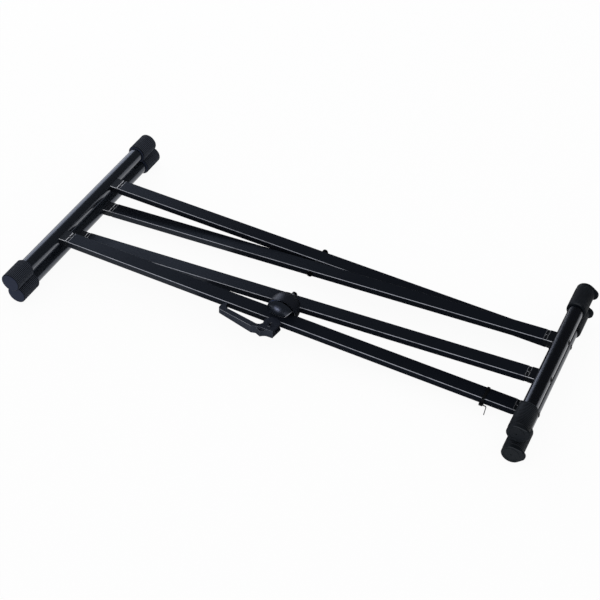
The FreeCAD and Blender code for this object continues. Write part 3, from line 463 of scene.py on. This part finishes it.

# Rubber caps on the feet: painted shade darkens the grooves between their raised ribs, and the
# end discs are painted a darker shade
capLook = {
    "colour": (0.04, 0.047, 0.063),
    "cloudColour": (0.052, 0.06, 0.08),
    "grooveShadeColour": (0.0012, 0.0015, 0.0022),
    "grooveReach": (0.0187, 0.0191),
    "discShadeColour": (0.019, 0.0245, 0.045),
    "markColour": (0.03, 0.032, 0.036),
    "markScale": 90.0,
    "markAmount": 0.5,
    "grainScale": 1500.0,
    "grainStrength": 0.06,
    "grainDepth": 0.0002,
    "sheen": (0.5, 0.62),
    "specular": 0.08,
    "specularTint": (0.9, 0.95, 1.0),
}

# The caps' axes run along Y, at the base tubes' reach from the pivot line, and the two frames
# lean about that line by the same tilt, one up and one down
capPlace = {
    "pivot": Vector((-0.009994, -0.0061, 0.038349)),
    "tilt": math.radians(2.2794),
    "baseReach": 0.484,
}


def capAxis(place, lean):
    reach, tilt = place["baseReach"], place["tilt"]
    return place["pivot"] + Vector((-reach * math.cos(tilt), 0.0, lean * reach * math.sin(tilt)))


for side, lean in (("outer", 1), ("inner", -1)):
    sideLook = dict(capLook, grooveAxis=capAxis(capPlace, lean))
    dress(mouldedFinish(side + "CapRubber", sideLook),
          "front_" + side + "_foot_cap", "rear_" + side + "_foot_cap")

# Rubber sleeves on the arms, with a faint painted highlight along corners facing up and front,
# and sharp corners a little paler from wear
sleeveLook = {
    "colour": (0.0058, 0.0078, 0.011),
    "cloudColour": (0.008, 0.0104, 0.0142),
    "paintedHighlightEdges": [(upAndFront, 0.93, 0.3)],
    "highlightColour": (0.12, 0.128, 0.14),
    "edgeWidth": 0.0008,
    "cornerColour": (0.06, 0.066, 0.076),
    "cornerAmount": 0.15,
    "tiltLimit": everyTilt,
    "markColour": (0.03, 0.032, 0.036),
    "markScale": 90.0,
    "markAmount": 0.5,
    "grainScale": 1500.0,
    "grainStrength": 0.06,
    "grainDepth": 0.0002,
    "sheen": (0.5, 0.62),
    "specular": 0.12,
    "specularTint": (0.9, 0.95, 1.0),
}
dress(mouldedFinish("sleeveRubber", sleeveLook),
      *frameNames("front_*_arm_sleeve", "rear_*_arm_sleeve"))

# Raised rings round the sleeves, a gripping surface for what lies on the arms. Their crests are
# painted paler as a painted highlight, their grooves dark as painted shade
ringLook = {
    "pitch": 0.00344,
    "count": 16,
    "height": 0.0004,
    "lift": 0.00006,
    "rootDepth": 0.0002,
    "crestShape": 0.7,
    "sleeveRadius": 0.01845,
    "mouthMargin": 0.0016,
    "pointsAround": 96,
    "pointsAcross": 8,
    "crestHighlightColour": (0.03, 0.036, 0.046),
    "grooveShadeColour": (0.0008, 0.001, 0.0015),
    "grooveReach": (0.0187, 0.0189),
}


# Steps along the sleeve and heights above it, sunk a little at both ends
def ringProfile(look):
    profile = [(0.0, -look["rootDepth"])]
    for step in range(look["count"] * look["pointsAcross"] + 1):
        along = step / look["pointsAcross"]
        crest = math.sin(math.pi * (along % 1.0)) ** look["crestShape"]
        profile.append((along * look["pitch"], look["lift"] + look["height"] * crest))
    profile.append((look["count"] * look["pitch"], -look["rootDepth"]))
    return profile


def makeSleeveRings(name, node, body, centreZ, look):
    low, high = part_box(node)
    centreX = low.x + look["sleeveRadius"]
    isFront = (low.y + high.y) / 2 < 0
    towardEnd = -1.0 if isFront else 1.0
    mouthY = high.y if isFront else low.y
    around = look["pointsAround"]
    turns = [2 * math.pi * i / around for i in range(around)]
    mesh = bpy.data.meshes.new(name)
    build = bmesh.new()
    loops = []
    for along, rise in ringProfile(look):
        radius = look["sleeveRadius"] + rise
        y = mouthY + towardEnd * (look["mouthMargin"] + along)
        loops.append([build.verts.new((centreX + radius * math.cos(turn), y,
                                       centreZ + radius * math.sin(turn))) for turn in turns])
    for near, far in zip(loops, loops[1:]):
        for i in range(around):
            j = (i + 1) % around
            build.faces.new((near[i], near[j], far[j], far[i]))
    bmesh.ops.recalc_face_normals(build, faces=build.faces)
    for face in build.faces:
        face.smooth = True
    build.to_mesh(mesh)
    build.free()
    # Crests carry a painted highlight and grooves a painted shade
    mesh.materials.append(mouldedFinish(name, dict(
        sleeveLook, colour=look["crestHighlightColour"], grooveAxis=(centreX, 0.0, centreZ),
        grooveShadeColour=look["grooveShadeColour"], grooveReach=look["grooveReach"])))
    rings = bpy.data.objects.new(name, mesh)
    bpy.context.scene.collection.objects.link(rings)
    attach(rings, body)


# The sleeves' axes lie one radius above the outer sleeves' lowest point, and one radius below the
# inner sleeves' highest point
for side in ("outer", "inner"):
    low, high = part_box("front_" + side + "_arm_sleeve")
    if side == "outer":
        sleeveAxisZ = low.z + ringLook["sleeveRadius"]
    else:
        sleeveAxisZ = high.z - ringLook["sleeveRadius"]
    for place in ("front", "rear"):
        makeSleeveRings(place + side.capitalize() + "SleeveRings",
                        place + "_" + side + "_arm_sleeve", side + "_frame",
                        sleeveAxisZ, ringLook)
print("sleeve rings made")

# Moulded saddles between legs and tubes, with bright painted highlights along corners facing up
# and front and up towards the leg, and sharp corners a little paler from wear
saddleLook = {
    "colour": (0.004, 0.005, 0.0075),
    "cloudColour": (0.006, 0.0072, 0.01),
    "paintedHighlightEdges": [(upAndFront, 0.93, 0.9), (upAndRight, 0.87, 1.0)],
    "highlightColour": (0.75, 0.77, 0.82),
    "edgeWidth": 0.0012,
    "cornerColour": (0.03, 0.03, 0.033),
    "cornerAmount": 0.05,
    "tiltLimit": everyTilt,
    "markColour": (0.014, 0.015, 0.018),
    "markScale": 80.0,
    "markAmount": 0.4,
    "grainScale": 1200.0,
    "grainStrength": 0.08,
    "grainDepth": 0.0002,
    "sheen": (0.35, 0.45),
    "specular": 0.16,
    "specularTint": (0.8, 0.9, 1.0),
}
armSaddleLook = dict(saddleLook, paintedHighlightEdges=[(upAndFront, 0.93, 0.9), (upAndLeft, 0.87, 0.3)])
dress(mouldedFinish("baseSaddlePlastic", saddleLook),
      *frameNames("front_*_base_saddle", "rear_*_base_saddle"))
dress(mouldedFinish("armSaddlePlastic", armSaddleLook),
      *frameNames("front_*_arm_saddle", "rear_*_arm_saddle"))

# Lock cover, smooth and glossy, with painted highlights along its right front cut edge and lower
# front edge, and a painted shade band beside its groove to the housing
coverLook = {
    "colour": (0.0095, 0.0122, 0.0172),
    "cloudColour": (0.0115, 0.0145, 0.02),
    "paintedHighlightEdges": [(rightAndFront, 0.86, 1.0), (downAndFront, 0.9, 0.3)],
    "highlightColour": (0.6, 0.61, 0.65),
    "edgeWidth": 0.0018,
    "seamShade": (-0.0903, -0.0872),
    "seamShadeColour": (0.0001, 0.0001, 0.0001),
    "markColour": (0.02, 0.021, 0.024),
    "markScale": 90.0,
    "markAmount": 0.5,
    "grainScale": 900.0,
    "grainStrength": 0.0,
    "grainDepth": 0.0002,
    "sheen": (0.22, 0.26),
    "specular": 0.6,
    "specularTint": (0.72, 0.79, 1.0),
}
dress(mouldedFinish("coverPlastic", coverLook), "lock_cover")

# Lock housing, textured
housingLook = {
    "colour": (0.0068, 0.0085, 0.0135),
    "cloudColour": (0.0095, 0.0115, 0.0172),
    "edgeWidth": 0.0011,
    "cornerColour": (0.05, 0.052, 0.06),
    "cornerAmount": 0.1,
    "tiltLimit": everyTilt,
    "markColour": (0.02, 0.021, 0.024),
    "markScale": 90.0,
    "markAmount": 0.4,
    "grainScale": 700.0,
    "grainStrength": 0.45,
    "grainDepth": 0.0002,
    "sheen": (0.35, 0.45),
    "specular": 0.44,
    "specularTint": (0.75, 0.81, 1.0),
}
dress(mouldedFinish("housingPlastic", housingLook), "lock_housing", "lock_hub", "lock_gear")

# Release handle, with painted highlights on its upright corners and along its top front edge
handleLook = {
    "colour": (0.005, 0.0068, 0.0135),
    "cloudColour": (0.0072, 0.0098, 0.0185),
    "paintedHighlightEdges": [(upAndFront, 0.93, 0.75)],
    "highlightColour": (0.4, 0.41, 0.44),
    "edgeWidth": 0.001,
    "cornerColour": (0.22, 0.228, 0.25),
    "cornerAmount": 0.3,
    "tiltLimit": 0.45,
    "markColour": (0.06, 0.062, 0.07),
    "markScale": 90.0,
    "markAmount": 0.5,
    "grainScale": 700.0,
    "grainStrength": 0.15,
    "grainDepth": 0.0002,
    "sheen": (0.5, 0.6),
    "specular": 0.48,
    "specularTint": (0.66, 0.76, 1.0),
}
dress(mouldedFinish("handlePlastic", handleLook), "release_handle")

# Bearings between the legs
bearingLook = dict(saddleLook, colour=(0.008, 0.008, 0.009), cloudColour=(0.012, 0.012, 0.013),
                   paintedHighlightEdges=[])
dress(mouldedFinish("bearingNylon", bearingLook), *frameNames("*_leg_bushes"),
      "rear_pivot_washer")

# Cable tie
tieLook = dict(saddleLook, colour=(0.003, 0.0033, 0.004), cloudColour=(0.006, 0.0064, 0.0075),
               paintedHighlightEdges=[], edgeWidth=0.0009, sheen=(0.3, 0.4), grainStrength=0.05,
               specular=0.3)
dress(mouldedFinish("tieNylon", tieLook), "cable_tie")

# Blackened bolts and pins
blackSteelLook = {
    "colour": (0.008, 0.0085, 0.01),
    "cloudColour": (0.016, 0.0165, 0.019),
    "markColour": (0.06, 0.06, 0.065),
    "markScale": 120.0,
    "markAmount": 0.5,
    "rippleScale": 900.0,
    "rippleStrength": 0.15,
    "rippleDepth": 0.0001,
    "patchScale": 60.0,
    "sheen": (0.32, 0.42),
}
dress(metalFinish("blackSteel", blackSteelLook), *frameNames("*_leg_bolts"),
      "rear_pivot_bolt", "rear_pivot_cap_nut", "handle_pin", "lock_rod_cap")

# Zinc-plated inside parts
zincLook = {
    "colour": (0.5, 0.51, 0.53),
    "cloudColour": (0.62, 0.62, 0.6),
    "markColour": (0.35, 0.35, 0.36),
    "markScale": 120.0,
    "markAmount": 0.4,
    "rippleScale": 700.0,
    "rippleStrength": 0.15,
    "rippleDepth": 0.0001,
    "patchScale": 90.0,
    "sheen": (0.25, 0.4),
}
dress(metalFinish("zincSteel", zincLook), *frameNames("*_leg_nuts"), "lock_rod",
      "lock_cover_screws", "lock_housing_screws", "lock_spring")
print("finishes on all pieces")


def makeReturnSpring():
    spring = bpy.data.objects.new("returnSpring", cadNodes["lock_spring"].data.copy())
    bpy.context.scene.collection.objects.link(spring)
    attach(spring, "outer_frame")
    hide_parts("lock_spring")
    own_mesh(spring)


makeReturnSpring()
print("return spring made")

# Camera, matched to the photograph
cameraLook = {
    "place": (0.787207, -1.7104, 1.719358),
    "yaw": 25.03,
    "pitch": 42.33,
    "roll": -1.141,
    "focal": 79.26,
    "sensor": 36.0,
    "farthest": 60.0,
}


def makeCamera(look):
    yaw = math.radians(look["yaw"])
    pitch = math.radians(look["pitch"])
    roll = math.radians(look["roll"])
    ahead = Vector((-math.sin(yaw) * math.cos(pitch), math.cos(yaw) * math.cos(pitch),
                    -math.sin(pitch)))
    right = Vector((math.cos(yaw), math.sin(yaw), 0.0))
    down = ahead.cross(right)
    rolledRight = right * math.cos(roll) + down * math.sin(roll)
    rolledDown = down * math.cos(roll) - right * math.sin(roll)
    data = bpy.data.cameras.new("stillCamera")
    data.lens = look["focal"]
    data.sensor_width = look["sensor"]
    data.clip_end = look["farthest"]
    camera = bpy.data.objects.new("stillCamera", data)
    bpy.context.scene.collection.objects.link(camera)
    turn = Matrix((rolledRight, -rolledDown, -ahead)).transposed()
    camera.matrix_world = Matrix.Translation(look["place"]) @ turn.to_4x4()
    bpy.context.scene.camera = camera


makeCamera(cameraLook)

# Floor and light. Each cloth is a rectangle on the floor: left, near, right and far.
studioLook = {
    "floorSize": 14.0,
    "floorColour": (0.9, 0.9, 0.9),
    "floorRoughness": 0.9,
    "floorGlow": 0.94,
    "roomColour": (1.0, 1.0, 1.0),
    "roomStrength": 0.8,
    "ceilingRadius": 6.0,
    "ceilingSegments": 48,
    "ceilingShade": 0.05,
    "clothHeight": 0.0004,
    "clothShade": 0.06,
    "cloths": [
        (-7.0, -7.0, -1.6, -0.6), (-0.12, -7.0, 7.0, -0.6), (0.85, -0.6, 7.0, 7.0),
        (-7.0, 0.75, 0.85, 7.0), (-7.0, -0.6, -1.1, 0.75), (-0.2, -0.17, 0.46, 0.35),
    ],
    "lamps": [
        {"name": "lowBackLeft", "towards": (-0.78, 0.59, 0.2), "distance": 3.2,
         "size": (1.7, 1.2), "brightness": 2.1, "colour": (0.84, 0.88, 1.0)},
        {"name": "highBackLeft", "towards": (-0.62, 0.56, 0.55), "distance": 3.4,
         "size": (1.3, 1.2), "brightness": 1.9, "colour": (0.8, 0.87, 1.0)},
        {"name": "lowFront", "towards": (-0.38, -0.92, 0.028), "distance": 3.0,
         "size": (1.0, 0.24), "brightness": 15.0, "colour": (0.86, 0.88, 1.0)},
    ],
}


# 1 for the rays that see the background as it looks, 0 for the rays that carry light
def backgroundRays(tree, x, y):
    rays = addNode(tree, "ShaderNodeLightPath", x, y)
    first = addNode(tree, "ShaderNodeMath", x + 200, y, operation="MAXIMUM")
    second = addNode(tree, "ShaderNodeMath", x + 400, y, operation="MAXIMUM")
    join(tree,
         (rays, "Is Camera Ray", first, 0), (rays, "Is Glossy Ray", first, 1),
         (first, "Value", second, 0), (rays, "Is Transmission Ray", second, 1))
    return second.outputs["Value"]


def makeFloor(look):
    half = look["floorSize"] / 2
    mesh = bpy.data.meshes.new("floor")
    mesh.from_pydata([(-half, -half, 0), (half, -half, 0), (half, half, 0), (-half, half, 0)],
                     [], [(0, 1, 2, 3)])
    floor = bpy.data.objects.new("floor", mesh)
    bpy.context.scene.collection.objects.link(floor)
    material, tree, shader = makeMaterial("paleFloor")
    shader.inputs["Base Color"].default_value = (*look["floorColour"], 1.0)
    shader.inputs["Roughness"].default_value = look["floorRoughness"]
    shader.inputs["Specular IOR Level"].default_value = 0.0
    output = next(node for node in tree.nodes if node.type == "OUTPUT_MATERIAL")
    glow = addNode(tree, "ShaderNodeEmission", 300, -300)
    share = addNode(tree, "ShaderNodeMath", 100, 300, {1: look["floorGlow"]},
                    operation="MULTIPLY")
    mix = addNode(tree, "ShaderNodeMixShader", 500, 100)
    tree.links.new(backgroundRays(tree, -500, 300), share.inputs[0])
    join(tree,
         (share, "Value", mix, "Fac"), (shader, "BSDF", mix, 1), (glow, "Emission", mix, 2),
         (mix, "Shader", output, "Surface"))
    mesh.materials.append(material)


def makeWorld(look):
    world = bpy.data.worlds.new("softRoom")
    bpy.context.scene.world = world
    world.use_nodes = True
    tree = world.node_tree
    tree.nodes.clear()
    colour = (*look["roomColour"], 1.0)
    output = addNode(tree, "ShaderNodeOutputWorld", 600, 0)
    room = addNode(tree, "ShaderNodeBackground", 200, -100,
                   {"Color": colour, "Strength": look["roomStrength"]})
    white = addNode(tree, "ShaderNodeBackground", 200, 100, {"Color": colour})
    mix = addNode(tree, "ShaderNodeMixShader", 400, 0)
    tree.links.new(backgroundRays(tree, -500, 300), mix.inputs["Fac"])
    join(tree,
         (room, "Background", mix, 1), (white, "Background", mix, 2),
         (mix, "Shader", output, "Surface"))


# A flag is seen in reflections alone: it takes no light away and throws no shadow
def hangFlag(name, mesh, shade):
    flag = bpy.data.objects.new(name, mesh)
    bpy.context.scene.collection.objects.link(flag)
    material = bpy.data.materials.new(name)
    material.use_nodes = True
    tree = material.node_tree
    tree.nodes.clear()
    output = addNode(tree, "ShaderNodeOutputMaterial", 300, 0)
    dim = addNode(tree, "ShaderNodeEmission", 0, 0, {"Strength": shade})
    join(tree, (dim, "Emission", output, "Surface"))
    mesh.materials.append(material)
    flag.visible_camera = False
    flag.visible_diffuse = False
    flag.visible_transmission = False
    flag.visible_shadow = False


# A dark half dome overhead, as black flags hang over a studio table
def makeCeiling(look):
    mesh = bpy.data.meshes.new("darkCeiling")
    build = bmesh.new()
    bmesh.ops.create_uvsphere(build, u_segments=look["ceilingSegments"],
                              v_segments=look["ceilingSegments"], radius=look["ceilingRadius"])
    below = [vertex for vertex in build.verts if vertex.co.z < 0.0]
    bmesh.ops.delete(build, geom=below, context="VERTS")
    build.to_mesh(mesh)
    build.free()
    hangFlag("darkCeiling", mesh, look["ceilingShade"])


# Dark cloth on the table round the white paper, and under the middle of the stand
def layCloths(look):
    mesh = bpy.data.meshes.new("darkCloth")
    height = look["clothHeight"]
    points, quads = [], []
    for left, near, right, far in look["cloths"]:
        first = len(points)
        points += [(left, near, height), (right, near, height),
                   (right, far, height), (left, far, height)]
        quads.append((first, first + 1, first + 2, first + 3))
    mesh.from_pydata(points, [], quads)
    hangFlag("darkCloth", mesh, look["clothShade"])


def makeLamps(look):
    for lamp in look["lamps"]:
        data = bpy.data.lights.new(lamp["name"], "AREA")
        data.shape = "RECTANGLE"
        data.size, data.size_y = lamp["size"]
        data.energy = lamp["brightness"] * math.pi * data.size * data.size_y
        data.color = lamp["colour"]
        light = bpy.data.objects.new(lamp["name"], data)
        bpy.context.scene.collection.objects.link(light)
        towards = Vector(lamp["towards"]).normalized()
        light.location = towards * lamp["distance"]
        light.rotation_euler = towards.to_track_quat("Z", "Y").to_euler()


makeFloor(studioLook)
makeWorld(studioLook)
makeCeiling(studioLook)
layCloths(studioLook)
makeLamps(studioLook)
bpy.context.scene.view_settings.view_transform = "Standard"
print("camera, floor and light ready")
